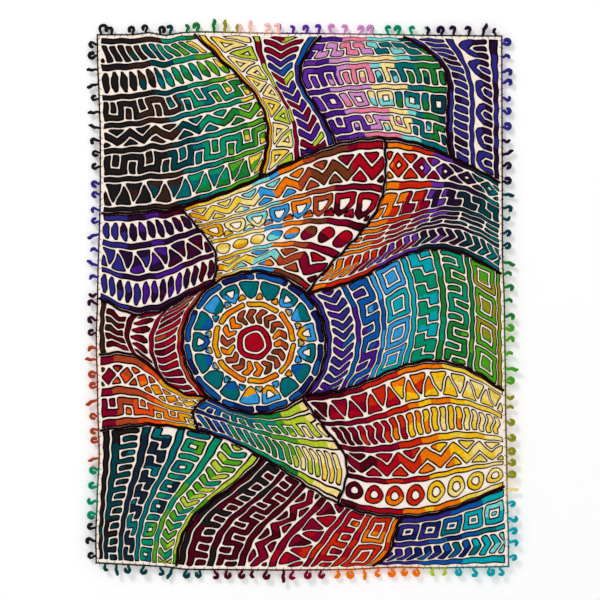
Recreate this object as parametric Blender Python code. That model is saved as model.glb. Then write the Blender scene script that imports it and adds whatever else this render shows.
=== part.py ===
"""Embroidered tapestry wall hanging: a stitched cloth panel with an edging of curled yarn on all sides.

Units are metres with +Z up. The face of the cloth looks along -Y. The origin is the middle of the top edge,
where the hanging is held, so the cloth runs down from z = 0.
"""

import math
import random
from collections import namedtuple

import bmesh
import bpy
from mathutils import Vector

MM = 0.001

# Cloth panel
PANEL_WIDTH = 457 * MM
PANEL_HEIGHT = 603 * MM
PANEL_THICKNESS = 2.4 * MM
COLUMNS = 24
ROWS = 30

# Edging cord and its curls of yarn
CLEARANCE = 0.3 * MM
CORD_WIDTH = 1.4 * MM
CORD_THICKNESS = 1.6 * MM
YARN_SIDE = 2.8 * MM
TIP_SHARE = 0.68
ROOT_WIDTH = 2.6 * MM
ROOT_CLEARANCE = 1.8 * MM
NECK = 1.3 * MM
CURL_SECTIONS = 5
FINE_STEPS = 40

EdgePoint = namedtuple("EdgePoint", "along out")
Wave = namedtuple("Wave", "across spread depth drift")
CurlForm = namedtuple("CurlForm", "name share stem radius turn sway")
Curl = namedtuple("Curl", "place form hand lean size sway")
Side = namedtuple("Side", "name outward curls seed color")

# How far each side of the cloth bows out of a true rectangle. The top and bottom read along +X from the
# middle, the left and right along -Z from the top edge. All values are millimetres.
TOP_OUTLINE = [
    EdgePoint(along=-229, out=-1.1),
    EdgePoint(along=-182, out=-1.0),
    EdgePoint(along=-170, out=1.5),
    EdgePoint(along=-155, out=-1.9),
    EdgePoint(along=-125, out=2.0),
    EdgePoint(along=-112, out=2.2),
    EdgePoint(along=-24, out=0.6),
    EdgePoint(along=229, out=-2.4),
]
BOTTOM_OUTLINE = [
    EdgePoint(along=-229, out=-7.8),
    EdgePoint(along=-187, out=-6.2),
    EdgePoint(along=-153, out=-3.4),
    EdgePoint(along=-127, out=0.0),
    EdgePoint(along=44, out=0.0),
    EdgePoint(along=112, out=-2.8),
    EdgePoint(along=146, out=-2.2),
    EdgePoint(along=229, out=-4.0),
]
LEFT_OUTLINE = [
    EdgePoint(along=0, out=0.3),
    EdgePoint(along=28, out=0.2),
    EdgePoint(along=62, out=-1.4),
    EdgePoint(along=113, out=-3.0),
    EdgePoint(along=175, out=-3.0),
    EdgePoint(along=299, out=0.0),
    EdgePoint(along=344, out=1.5),
    EdgePoint(along=412, out=0.0),
    EdgePoint(along=485, out=-1.9),
    EdgePoint(along=525, out=0.3),
    EdgePoint(along=575, out=2.1),
    EdgePoint(along=603, out=1.5),
]
RIGHT_OUTLINE = [
    EdgePoint(along=0, out=-2.6),
    EdgePoint(along=242, out=-2.0),
    EdgePoint(along=310, out=0.2),
    EdgePoint(along=412, out=1.4),
    EdgePoint(along=513, out=3.0),
    EdgePoint(along=580, out=4.7),
    EdgePoint(along=603, out=4.7),
]

# Soft waves of the hanging cloth, in millimetres. Each grows from nothing at the top edge to its full depth
# at the bottom, and drifts sideways on its way down. A negative depth comes towards the viewer.
HANGING_WAVES = [
    Wave(across=-196, spread=34, depth=-3.6, drift=8),
    Wave(across=-112, spread=42, depth=1.8, drift=-10),
    Wave(across=-22, spread=50, depth=-2.4, drift=6),
    Wave(across=74, spread=44, depth=1.9, drift=14),
    Wave(across=150, spread=36, depth=-1.8, drift=-6),
    Wave(across=214, spread=30, depth=-3.4, drift=4),
]

# The ways in which a length of yarn curls, in millimetres and degrees. Share is how often each one comes.
# The yarn goes straight out for its stem, then turns at its radius. Sway bends a stem one way and back.
CURL_FORMS = [
    CurlForm(name="hook", share=5, stem=3.2, radius=2.2, turn=200, sway=0),
    CurlForm(name="crook", share=5, stem=4.4, radius=2.0, turn=165, sway=0),
    CurlForm(name="ring", share=4, stem=2.6, radius=2.5, turn=220, sway=0),
    CurlForm(name="wriggle", share=3, stem=5.6, radius=2.6, turn=90, sway=38),
    CurlForm(name="stub", share=3, stem=2.4, radius=2.0, turn=125, sway=0),
]
CORNER_ARCH = CurlForm(name="arch", share=0, stem=3.2, radius=3.9, turn=200, sway=0)
CORNER_STUB = CurlForm(name="corner_stub", share=0, stem=2.6, radius=2.2, turn=125, sway=0)

# The two curls at the top left corner, which stand closer together than the rest: a tall arch and a stub.
# Place and sway are millimetres along the side and out of its plane, lean is degrees.
CORNER_CURLS = [
    Curl(place=5, form=CORNER_ARCH, hand=1, lean=20, size=1, sway=0),
    Curl(place=17, form=CORNER_STUB, hand=-1, lean=10, size=1, sway=0.4),
]
LEAN_RANGE = (14, 44)
SIZE_RANGE = (0.92, 1.12)
SWAY_LIMIT = 0.7
PLACE_JITTER = 0.17
END_INSET = 9

SIDES = [
    Side(name="top_edging", outward=(0, 1), curls=30, seed=11, color=(0.10, 0.22, 0.24)),
    Side(name="bottom_edging", outward=(0, -1), curls=30, seed=23, color=(0.28, 0.14, 0.1)),
    Side(name="left_edging", outward=(-1, 0), curls=38, seed=37, color=(0.14, 0.08, 0.12)),
    Side(name="right_edging", outward=(1, 0), curls=39, seed=51, color=(0.10, 0.30, 0.24)),
]


def clear_scene():
    for old in list(bpy.data.objects):
        bpy.data.objects.remove(old)


def yarn_material(name, color, roughness):
    material = bpy.data.materials.new(name)
    material.use_nodes = True
    shader = material.node_tree.nodes["Principled BSDF"]
    shader.inputs["Base Color"].default_value = (*color, 1)
    shader.inputs["Roughness"].default_value = roughness
    shader.inputs["Metallic"].default_value = 0
    return material


def finish(bm, name, material):
    bmesh.ops.recalc_face_normals(bm, faces=bm.faces)
    mesh = bpy.data.meshes.new(name)
    bm.to_mesh(mesh)
    bm.free()
    mesh.materials.append(material)
    piece = bpy.data.objects.new(name, mesh)
    bpy.context.scene.collection.objects.link(piece)
    return piece


def smooth_step(share):
    return share * share * (3 - 2 * share)


def bow(outline, along):
    """How far a side stands out of its straight line, eased between the outline's points."""
    place = along / MM
    if place <= outline[0].along:
        return outline[0].out * MM
    for start, end in zip(outline, outline[1:]):
        if place <= end.along:
            share = smooth_step((place - start.along) / (end.along - start.along))
            return (start.out + (end.out - start.out) * share) * MM
    return outline[-1].out * MM


def cloth_point(u, v):
    """A point of the flat cloth: u runs from left to right, v from the top edge to the bottom."""
    across = (u - 0.5) * PANEL_WIDTH
    down = v * PANEL_HEIGHT
    left = -bow(LEFT_OUTLINE, down)
    right = bow(RIGHT_OUTLINE, down)
    top = bow(TOP_OUTLINE, across)
    bottom = -bow(BOTTOM_OUTLINE, across)
    return Vector((across + left + (right - left) * u, -down + top + (bottom - top) * v))


def hanging_depth(across, z):
    """How far the hanging cloth stands in front of or behind the plane through its top edge."""
    fall = min(max(-z / PANEL_HEIGHT, 0), 1)
    growth = smooth_step(fall)
    depth = 0
    for wave in HANGING_WAVES:
        offset = (across / MM - wave.across - wave.drift * fall) / wave.spread
        depth += wave.depth * math.exp(-offset * offset)
    return depth * growth * MM


def make_panel():
    bm = bmesh.new()
    bmesh.ops.create_grid(bm, x_segments=COLUMNS, y_segments=ROWS, size=0.5)
    for vert in bm.verts:
        flat = cloth_point(vert.co.x + 0.5, 0.5 - vert.co.y)
        vert.co = (flat.x, hanging_depth(flat.x, flat.y) - PANEL_THICKNESS / 2, flat.y)
    back = bmesh.ops.extrude_face_region(bm, geom=bm.faces[:])
    back_verts = [item for item in back["geom"] if isinstance(item, bmesh.types.BMVert)]
    bmesh.ops.translate(bm, verts=back_verts, vec=(0, PANEL_THICKNESS, 0))
    return finish(bm, "embroidered_panel", yarn_material("stitched_cotton", (0.84, 0.74, 0.67), 0.92))


def side_corners(side):
    """The cloth's edge along one side, as the points where the panel's own facets meet it."""
    if side.outward[1] != 0:
        v = 0 if side.outward[1] > 0 else 1
        return [cloth_point(step / COLUMNS, v) for step in range(COLUMNS + 1)]
    u = 0 if side.outward[0] < 0 else 1
    return [cloth_point(u, step / ROWS) for step in range(ROWS + 1)]


def reach_past_corners(points):
    """The top and bottom cords run on over the ends of the side cords."""
    reach = CLEARANCE + CORD_WIDTH
    first = points[0] + (points[0] - points[1]).normalized() * reach
    last = points[-1] + (points[-1] - points[-2]).normalized() * reach
    return [first] + points + [last]


class Rail:
    """The path of an edging cord: a chain of straight facets along one side of the cloth."""

    def __init__(self, side):
        outward = Vector(side.outward)
        self.points = side_corners(side)
        if side.outward[1] != 0:
            self.points = reach_past_corners(self.points)
        self.lengths = [0]
        for start, end in zip(self.points, self.points[1:]):
            self.lengths.append(self.lengths[-1] + (end - start).length)
        self.normals = []
        for start, end in zip(self.points, self.points[1:]):
            along = (end - start).normalized()
            normal = Vector((-along.y, along.x))
            self.normals.append(normal if normal.dot(outward) > 0 else -normal)

    def facet(self, length):
        for index, end in enumerate(self.lengths[1:]):
            if length <= end:
                return index
        return len(self.normals) - 1

    def at(self, length):
        """The point on the cloth's edge and the direction away from the cloth, at a length."""
        index = self.facet(length)
        span = self.lengths[index + 1] - self.lengths[index]
        share = (length - self.lengths[index]) / span
        point = self.points[index].lerp(self.points[index + 1], share)
        normal = self.normals[index]
        if length == self.lengths[index + 1] and index + 1 < len(self.normals):
            normal = (normal + self.normals[index + 1]).normalized()
        return point, normal


def curl_plan(side, rail):
    """Where each curl stands on its side, and how it leans and turns, from the side's own seed."""
    draw = random.Random(side.seed)
    pitch = (rail.lengths[-1] / MM - 2 * END_INSET) / (side.curls - 1)
    weights = [form.share for form in CURL_FORMS]
    plan = []
    for index in range(side.curls):
        jitter = draw.uniform(-PLACE_JITTER, PLACE_JITTER) * pitch
        form = draw.choices(CURL_FORMS, weights)[0]
        hand = draw.choice((-1, 1))
        lean = draw.uniform(*LEAN_RANGE)
        size = draw.uniform(*SIZE_RANGE)
        sway = draw.uniform(-SWAY_LIMIT, SWAY_LIMIT)
        plan.append(Curl(END_INSET + index * pitch + jitter, form, hand, lean, size, sway))
    if side.name == "top_edging":
        plan[:len(CORNER_CURLS)] = CORNER_CURLS
    return plan


def curl_centres(curl):
    """Points down the middle of a curl, in the plane of the cloth, as (along, out, heading) from its root.

    The yarn leans one way, then turns back the other way into its loop. A wriggle sways on its stem.
    """
    stem = curl.form.stem * curl.size * MM
    radius = curl.form.radius * curl.size * MM
    length = stem + radius * math.radians(curl.form.turn)
    step = length / FINE_STEPS
    along, out = 0, 0
    centres = []
    for index in range(FINE_STEPS + 1):
        travelled = index * step
        heading = -math.radians(curl.lean)
        if travelled > stem:
            heading += (travelled - stem) / radius
        heading += math.radians(curl.form.sway) * math.sin(2 * math.pi * travelled / length)
        centres.append((curl.hand * along, out, curl.hand * heading))
        along += math.sin(heading) * step
        out += math.cos(heading) * step
    return centres


def extrude_to(bm, face, corners):
    """Grow one face forward by a section whose corners are given in the order of the face's own corners."""
    grown = bmesh.ops.extrude_discrete_faces(bm, faces=[face])["faces"][0]
    for vert, corner in zip(grown.verts, corners):
        vert.co = corner
    return grown


def cord_section(rail, length):
    point, normal = rail.at(length)
    depth = hanging_depth(point.x, point.y)
    inner = point + normal * CLEARANCE
    outer = point + normal * (CLEARANCE + CORD_WIDTH)
    half = CORD_THICKNESS / 2
    return [
        Vector((inner.x, depth - half, inner.y)),
        Vector((inner.x, depth + half, inner.y)),
        Vector((outer.x, depth + half, outer.y)),
        Vector((outer.x, depth - half, outer.y)),
    ]


def grow_curl(bm, root, rail, curl):
    """Extrude a curl of yarn out of the cord's outward face."""
    normal = rail.at(curl.place * MM)[1]
    tangent = Vector((normal.y, -normal.x))
    middle = root.calc_center_median()
    signs = []
    for vert in root.verts:
        offset = vert.co - middle
        sideways = offset.x * tangent.x + offset.z * tangent.y
        signs.append((math.copysign(1, sideways), math.copysign(1, offset.y)))
    centres = curl_centres(curl)
    face = root
    stride = FINE_STEPS // CURL_SECTIONS
    for section in range(CURL_SECTIONS + 1):
        along, out, heading = centres[section * stride]
        share = section / CURL_SECTIONS
        half = YARN_SIDE / 2 * curl.size * (1 - (1 - TIP_SHARE) * share)
        across = tangent * math.cos(heading) - normal * math.sin(heading)
        centre = tangent * along + normal * (out + NECK)
        corners = []
        for side_sign, depth_sign in signs:
            flat = centre + across * (side_sign * half)
            depth = depth_sign * half + curl.sway * MM * share
            corners.append(middle + Vector((flat.x, depth, flat.y)))
        face = extrude_to(bm, face, corners)


def make_edging(side):
    """A narrow cord beside the cloth's edge, with a curl of yarn standing out of every few facets."""
    rail = Rail(side)
    plan = curl_plan(side, rail)
    stations = [(0, None), (rail.lengths[-1], None)]
    for length in rail.lengths[1:-1]:
        if all(abs(length - curl.place * MM) > ROOT_CLEARANCE for curl in plan):
            stations.append((length, None))
    for curl in plan:
        stations.append((curl.place * MM - ROOT_WIDTH / 2, curl))
        stations.append((curl.place * MM + ROOT_WIDTH / 2, None))
    stations.sort(key=lambda station: station[0])
    bm = bmesh.new()
    start_verts = [bm.verts.new(corner) for corner in cord_section(rail, 0)]
    face = bm.faces.new(start_verts)
    roots = []
    waiting = None
    for length, curl in stations[1:]:
        before = face.verts[:]
        face = extrude_to(bm, face, cord_section(rail, length))
        if waiting is not None:
            outward = {before[2], before[3], face.verts[2], face.verts[3]}
            root = next(side_face for side_face in before[2].link_faces if set(side_face.verts) == outward)
            roots.append((root, waiting))
        waiting = curl
    bm.faces.new(start_verts)
    for root, curl in roots:
        grow_curl(bm, root, rail, curl)
    return finish(bm, side.name, yarn_material("yarn_" + side.name, side.color, 0.9))


clear_scene()
make_panel()
for edging in SIDES:
    make_edging(edging)
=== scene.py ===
import math
import random

import bmesh
import bpy
import mathutils
import numpy as np
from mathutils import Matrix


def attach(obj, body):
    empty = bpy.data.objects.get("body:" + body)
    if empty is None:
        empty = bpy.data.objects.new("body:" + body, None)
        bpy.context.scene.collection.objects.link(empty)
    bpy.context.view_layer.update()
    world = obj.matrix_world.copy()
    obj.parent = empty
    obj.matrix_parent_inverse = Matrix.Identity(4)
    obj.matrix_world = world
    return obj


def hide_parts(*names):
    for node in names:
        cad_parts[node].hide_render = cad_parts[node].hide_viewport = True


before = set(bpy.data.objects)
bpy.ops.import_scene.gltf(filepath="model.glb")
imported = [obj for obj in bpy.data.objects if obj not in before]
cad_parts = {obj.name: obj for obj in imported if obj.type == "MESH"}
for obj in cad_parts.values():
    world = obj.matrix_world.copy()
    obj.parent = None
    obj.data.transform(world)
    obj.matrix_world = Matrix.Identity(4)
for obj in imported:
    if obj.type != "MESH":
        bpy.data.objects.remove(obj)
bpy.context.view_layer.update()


# Ground cloth: one piece of pale plain-woven cotton, 457 by 603 mm, hung by its top edge. Its sides are as
# uneven as hand-hemmed cloth, and it waves a little on its way down. All the rest is sewn onto it.
MM = 0.001
CLOTH_WIDTH = 457
CLOTH_HEIGHT = 603
CLOTH_FRONT = 0.35
CLOTH_BACK = -0.45
CLOTH_COLUMNS = 76
CLOTH_ROWS = 100
HEM_WIDTH = 3.2
HEM_RISE = 0.3
HEM_SLOPE = 0.5

# Each row: place along the side, and how far the side stands out of a true rectangle there, in mm.
TOP_OUTLINE = [(-229, -1.1), (-182, -1.0), (-170, 1.5), (-155, -1.9), (-125, 2.0), (-112, 2.2), (-24, 0.6),
               (229, -2.4)]
BOTTOM_OUTLINE = [(-229, -7.8), (-187, -6.2), (-153, -3.4), (-127, 0), (44, 0), (112, -2.8), (146, -2.2),
                  (229, -4)]
LEFT_OUTLINE = [(0, 0.3), (28, 0.2), (62, -1.4), (113, -3), (175, -3), (299, 0), (344, 1.5), (412, 0),
                (485, -1.9), (525, 0.3), (575, 2.1), (603, 1.5)]
RIGHT_OUTLINE = [(0, -2.6), (242, -2), (310, 0.2), (412, 1.4), (513, 3), (580, 4.7), (603, 4.7)]

# Each row: a wave's place across the cloth, its spread, its depth at the bottom and its drift, in mm.
HANGING_WAVES = [(-196, 34, -3.6, 8), (-112, 42, 1.8, -10), (-22, 50, -2.4, 6), (74, 44, 1.9, 14),
                 (150, 36, -1.8, -6), (214, 30, -3.4, 4)]

# Real threads lie 0.5 mm apart. They are drawn coarser, so that the weave shows.
WEAVE_SPACING = 1.2
SLUB_SIZE = 2.381
BLOTCH_SIZE = 45.45
# Dry fibre scatters light and hardly shines.
DRY_SHINE = 0.01


def bow(outline, place):
    """How far a side stands out of its straight line at places along it, eased between the rows."""
    places, outs = np.array(outline, float).T
    row = np.clip(np.searchsorted(places, place) - 1, 0, len(places) - 2)
    share = np.clip((place - places[row]) / (places[row + 1] - places[row]), 0, 1)
    share = share * share * (3 - 2 * share)
    return outs[row] + (outs[row + 1] - outs[row]) * share


def cloth_spot(across, down):
    """Where a spot of the cloth lies, as x and z in mm, given its place across and down a true rectangle."""
    left, right = -bow(LEFT_OUTLINE, down), bow(RIGHT_OUTLINE, down)
    top, bottom = bow(TOP_OUTLINE, across), -bow(BOTTOM_OUTLINE, across)
    x = across + left + (right - left) * (across / CLOTH_WIDTH + 0.5)
    return x, top - down + (bottom - top) * down / CLOTH_HEIGHT


def hang(x, z):
    """How far the hung cloth stands behind its top edge's plane, in mm."""
    fall = np.clip(-z / CLOTH_HEIGHT, 0, 1)
    depth = 0
    for across, spread, deep, drift in HANGING_WAVES:
        depth = depth + deep * np.exp(-(((x - across - drift * fall) / spread) ** 2))
    return depth * fall * fall * (3 - 2 * fall)


def on_cloth(across, down, height):
    """Points in metres for spots of the cloth at heights in front of its middle, all given in mm."""
    x, z = cloth_spot(across, down)
    return np.stack([x, hang(x, z) - height, z], -1) * MM


def linear(code):
    """A colour given as an sRGB hex code, in the linear values that shaders take."""
    parts = [int(code[i:i + 2], 16) / 255 for i in (1, 3, 5)]
    return tuple(c / 12.92 if c <= 0.04045 else ((c + 0.055) / 1.055) ** 2.4 for c in parts) + (1,)


def add_node(tree, kind, links=(), **settings):
    """Add a shader node: links gives sockets or values for its inputs, settings its own properties."""
    made = tree.nodes.new("ShaderNode" + kind)
    for name, value in settings.items():
        setattr(made, name, value)
    for name, value in dict(links).items():
        if isinstance(value, bpy.types.NodeSocket):
            tree.links.new(value, made.inputs[name])
        else:
            made.inputs[name].default_value = value
    return made


def new_material(name, roughness, sheen):
    """A matt material, with its nodes and its shader."""
    material = bpy.data.materials.new(name)
    material.use_nodes = True
    shader = material.node_tree.nodes["Principled BSDF"]
    shader.inputs["Roughness"].default_value = roughness
    shader.inputs["Sheen Weight"].default_value = sheen
    shader.inputs["Specular IOR Level"].default_value = DRY_SHINE
    return material, material.node_tree, shader


def finish_material(tree, shader, color, relief, strength, depth):
    """Give a material its colour and its raised grain, which is a depth in mm high."""
    bump = add_node(tree, "Bump", {"Height": relief, "Strength": strength, "Distance": depth * MM})
    tree.links.new(color, shader.inputs["Base Color"])
    tree.links.new(bump.outputs[0], shader.inputs["Normal"])


def bands_per_unit(spacing):
    """The Wave Texture scale whose bands lie a spacing apart, in the units of its coordinates."""
    return 2 * math.pi / 20 / spacing


def spots_per_metre(size):
    """The Noise Texture scale whose spots are a size in mm across."""
    return 1 / (size * MM)


def woven_cotton():
    """Plain-woven cotton: warp and weft cross as fine ridges, with slubs and a faint warm blotching."""
    material, tree, shader = new_material("plain_woven_cotton", roughness=0.92, sheen=0.02)
    place = add_node(tree, "TexCoord").outputs["Object"]
    weave = []
    for direction in ("X", "Z"):
        ridges = add_node(tree, "TexWave", {"Vector": place, "Scale": bands_per_unit(WEAVE_SPACING * MM),
                                            "Distortion": 1.2, "Detail": 1, "Detail Scale": 0.6},
                          bands_direction=direction)
        weave.append(ridges.outputs["Fac"])
    cloth = add_node(tree, "Math", {0: weave[0], 1: weave[1]}, operation="ADD").outputs[0]
    slubs = add_node(tree, "TexNoise", {"Vector": place, "Scale": spots_per_metre(SLUB_SIZE), "Detail": 3})
    blotch = add_node(tree, "TexNoise", {"Vector": place, "Scale": spots_per_metre(BLOTCH_SIZE), "Detail": 2})
    tint = add_node(tree, "Mix", {0: blotch.outputs["Fac"], 6: linear("#F9E5D8"), 7: linear("#FBEFE1")},
                    data_type="RGBA").outputs[2]
    speck = add_node(tree, "MapRange", {0: slubs.outputs["Fac"], 1: 0.3, 2: 0.7, 3: 0.94, 4: 1.09}).outputs[0]
    color = add_node(tree, "VectorMath", {0: tint, "Scale": speck}, operation="SCALE").outputs[0]
    relief = add_node(tree, "Math", {0: cloth, 1: slubs.outputs["Fac"]}, operation="ADD").outputs[0]
    finish_material(tree, shader, color, relief, strength=0.5, depth=0.15)
    return material


def take_mesh(bm, name):
    """The mesh of a bmesh that is finished with."""
    mesh = bpy.data.meshes.new(name)
    bm.to_mesh(mesh)
    bm.free()
    return mesh


def add_piece(mesh, name, material):
    """A smooth piece whose mesh lies in place, riding on the hanging's one body."""
    mesh.materials.append(material)
    mesh.shade_smooth()
    piece = bpy.data.objects.new(name, mesh)
    bpy.context.scene.collection.objects.link(piece)
    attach(piece, "root")
    return piece


ground = bmesh.new()
bmesh.ops.create_grid(ground, x_segments=CLOTH_COLUMNS, y_segments=CLOTH_ROWS, size=0.5)
bmesh.ops.scale(ground, verts=ground.verts, vec=(CLOTH_WIDTH, CLOTH_HEIGHT, 1))
bmesh.ops.translate(ground, verts=ground.verts, vec=(0, CLOTH_HEIGHT / 2, CLOTH_BACK))
front = bmesh.ops.extrude_face_region(ground, geom=ground.faces[:])["geom"]
front_faces = [item for item in front if isinstance(item, bmesh.types.BMFace)]
front_verts = [item for item in front if isinstance(item, bmesh.types.BMVert)]
bmesh.ops.translate(ground, verts=front_verts, vec=(0, 0, CLOTH_FRONT - CLOTH_BACK))
for width, rise in ((HEM_SLOPE, HEM_RISE), (HEM_WIDTH, 0), (HEM_SLOPE, -HEM_RISE)):
    bmesh.ops.inset_region(ground, faces=front_faces, thickness=width, depth=rise, use_even_offset=True,
                           use_boundary=True)
for vert in ground.verts:
    vert.co = on_cloth(vert.co.x, vert.co.y, vert.co.z)
bmesh.ops.recalc_face_normals(ground, faces=ground.faces)
ground_cloth = add_piece(take_mesh(ground, "ground_cloth"), "ground_cloth", woven_cotton())
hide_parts("embroidered_panel")


# Field lines: dark cords laid on the cloth and couched down, which part it into curved fields. They run from
# pin to pin, and one closes in a ring round the medallion. Two-ply cotton, dyed a near-black plum.
MEDALLION_MIDDLE = (-52, 348)
MEDALLION_RADIUS = 80
LINE_RADIUS = 1.5
LINE_TWIST = 4.2
LINE_STEP = 0.7
LINE_SEAT = 0.6
SEAM_POINTS = 65
FIELD_EDGE = 1.5
PLY_RELIEF = 0.08
HAND_STRAY = 0.6
# Real fibres are far finer. They are drawn coarser, so that they show.
CORD_FIBRE = 1.111
CORD_PATCH = 25

# Pins on the medallion's rim, in degrees anticlockwise from its right.
RIM = {"north_west": 126, "north_east": 44, "south_west": 230, "south_east": 312}
# Where the fields end beside the cloth's own edges, in mm down or across.
EDGES = {"top": FIELD_EDGE, "bottom": CLOTH_HEIGHT - FIELD_EDGE, "left": FIELD_EDGE - CLOTH_WIDTH / 2,
         "right": CLOTH_WIDTH / 2 - FIELD_EDGE}
# Each line: where it starts and ends, in mm across from the middle and down from the top edge, or at a pin or
# a share of another line, then its bulge to the right of its way and its swing to one side and back, in mm.
LINES = {
    "arch": ((-227, 204), (227, 166), -44, 26),
    "hollow": ((-227, 452), (227, 512), 22, -34),
    "top_a": ((-120, 1.5), ("arch", 0.4), -34, 6),
    "top_b": ((24, 1.5), ("arch", 0.6), 26, 8),
    "top_c": ((118, 1.5), ("arch", 0.88), -26, -8),
    "north_west_up": ("north_west", ("arch", 0.2), 14, 4),
    "north_east_up": ("north_east", ("arch", 0.72), 26, -6),
    "west_upper": ("north_west", (-227, 300), -22, 6),
    "west_lower": ("south_west", (-227, 366), 6, -10),
    "east_upper": ("north_east", (227, 270), -30, 12),
    "east_lower": ("south_east", (227, 404), -30, 12),
    "south_west_down": ("south_west", ("hollow", 0.24), 12, 0),
    "south_east_down": ("south_east", ("hollow", 0.6), -20, 6),
    "bottom_a": (("hollow", 0.4), (-140, 601.5), 16, -6),
    "bottom_b": (("hollow", 0.76), (78, 601.5), -7, 3),
}


def line_spot(place):
    """A line's end: a place in mm, a pin on the rim, or a share of another line."""
    if isinstance(place, str):
        turn = math.radians(RIM[place])
        return np.array(MEDALLION_MIDDLE) + MEDALLION_RADIUS * np.array([math.cos(turn), -math.sin(turn)])
    if isinstance(place[0], str):
        return line_route(place[0], 0, place[1])[-1]
    return np.array(place, float)


def line_route(name, start, end):
    """Points along a part of a line, of the medallion's rim in degrees, or of the cloth's edge in mm."""
    share = np.linspace(start, end, SEAM_POINTS)
    if name == "rim":
        turn = np.radians(share)
        return MEDALLION_MIDDLE + MEDALLION_RADIUS * np.stack([np.cos(turn), -np.sin(turn)], -1)
    if name in EDGES:
        beside = np.full(SEAM_POINTS, EDGES[name])
        return np.stack([share, beside] if name in ("top", "bottom") else [beside, share], -1)
    first_place, last_place, bulge, swing = LINES[name]
    first, last = line_spot(first_place), line_spot(last_place)
    right = np.array([first[1] - last[1], last[0] - first[0]]) / np.linalg.norm(last - first)
    stray = bulge * np.sin(math.pi * share) + swing * np.sin(2 * math.pi * share)
    return first + (last - first) * share[:, None] + right * stray[:, None]


def by_hand(across, down):
    """Where a spot drawn and sewn by hand really comes to lie, in mm: nothing there runs quite true."""
    return (across + HAND_STRAY * np.sin(0.33 * down + 1.9 * np.sin(0.043 * across)),
            down + HAND_STRAY * np.sin(0.29 * across + 2.1 * np.sin(0.037 * down)))


def reach_along(route):
    """How far along a route each of its points lies."""
    return np.concatenate([[0], np.cumsum(np.linalg.norm(np.diff(route, axis=0), axis=1))])


def evenly(route, count):
    """The same route as a count of points an even step apart."""
    reach = reach_along(route)
    places = np.linspace(0, reach[-1], count)
    return np.stack([np.interp(places, reach, column) for column in route.T], -1)


def spin_yarn(strands, plies, twist):
    """Closed tubes of twisted yarn: each strand is a list of points and of radii, in metres."""
    profile = bpy.data.curves.new("yarn_profile", "CURVE")
    ring = profile.splines.new("POLY")
    corners = 4 * plies if plies == 2 else 3 * plies
    ring.points.add(corners - 1)
    for index, point in enumerate(ring.points):
        angle = -2 * math.pi * index / corners
        bulge = 1 + PLY_RELIEF * math.cos(plies * angle)
        point.co = (bulge * math.cos(angle), bulge * math.sin(angle), 0, 1)
    ring.use_cyclic_u = True
    section = bpy.data.objects.new("yarn_profile", profile)
    curve = bpy.data.curves.new("yarn", "CURVE")
    curve.dimensions = "3D"
    curve.bevel_mode = "OBJECT"
    curve.bevel_object = section
    curve.use_fill_caps = True
    for points, radii in strands:
        spline = curve.splines.new("POLY")
        spline.points.add(len(points) - 1)
        for target, point, radius, length in zip(spline.points, points, radii, reach_along(points)):
            target.co = (*point, 1)
            target.radius = radius
            target.tilt = 2 * math.pi * length / twist
    holder = bpy.data.objects.new("yarn", curve)
    for helper in (section, holder):
        bpy.context.scene.collection.objects.link(helper)
    spun = bpy.data.meshes.new_from_object(holder.evaluated_get(bpy.context.evaluated_depsgraph_get()))
    bm = bmesh.new()
    bm.from_mesh(spun)
    bmesh.ops.remove_doubles(bm, verts=bm.verts, dist=0.001 * MM)
    bmesh.ops.recalc_face_normals(bm, faces=bm.faces)
    bpy.data.meshes.remove(spun)
    for helper in (holder, section):
        bpy.data.objects.remove(helper)
    return bm


def couched_cord():
    """Twisted cotton dyed near-black plum: dull, in patches that took the dye more and less, and fibrous."""
    material, tree, shader = new_material("dyed_cotton_cord", roughness=0.85, sheen=0.01)
    place = add_node(tree, "TexCoord").outputs["Object"]
    fibre = add_node(tree, "TexNoise", {"Vector": place, "Scale": spots_per_metre(CORD_FIBRE), "Detail": 3})
    patch = add_node(tree, "TexNoise", {"Vector": place, "Scale": spots_per_metre(CORD_PATCH), "Detail": 2})
    dye = add_node(tree, "Mix", {0: patch.outputs["Fac"], 6: linear("#0F0407"), 7: linear("#270713")},
                   data_type="RGBA").outputs[2]
    finish_material(tree, shader, dye, fibre.outputs["Fac"], strength=0.6, depth=0.2)
    return material


line_strands = []
rims = [line_route("rim", turn, turn + 90) for turn in (0, 90, 180, 270)]
for route in [line_route(name, 0, 1) for name in LINES] + [np.vstack(rims)]:
    route = evenly(route, int(reach_along(route)[-1] / LINE_STEP) + 1)
    strand = on_cloth(*by_hand(*route.T), CLOTH_FRONT + LINE_SEAT * LINE_RADIUS)
    line_strands.append((strand, np.full(len(strand), LINE_RADIUS * MM)))
cords = take_mesh(spin_yarn(line_strands, 2, LINE_TWIST * MM), "field_lines")
field_lines = add_piece(cords, "field_lines", couched_cord())


# Stitched fields: every field is filled with rows of small shapes, parted by plain ribs. Each shape is satin
# stitch in one or two shades of cotton, padded a little and edged with a dark outline thread sewn round it.
GAP = 1.4
BAR = 9.0
RIB_WIDTH = 7.0
ROW_HEIGHT = 25.5
ROW_UNEVEN = (0.86, 1.14)
EDGE_MARGIN = 0.9
WARP_STEP = 4.0
FIELD_SEED = 100
FIELD_SHARES = 33

# What is too slight to sew: a row's depth and length and a shape's side, in mm, and a shape's area, in square
# mm. The last value is what has to be left of each side when a shape is drawn in.
LEAST_ROW = 13
LEAST_LENGTH = 11
LEAST_SIDE = 0.5
LEAST_AREA = 36
LEAST_LEFT = 0.05

# A shape's corners stray by hand, in mm. Outward corners of less than an angle in degrees are cut round, and
# a ring of thread spreads at a corner no further than the sharpest mitre allows.
STRAY_ALONG = 0.35
STRAY_UP = 0.3
CORNER_CUT = 0.8
EYE_CORNER_CUT = 0.3
SHARP_CORNER = 160
SHARPEST_MITRE = 0.55

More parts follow.
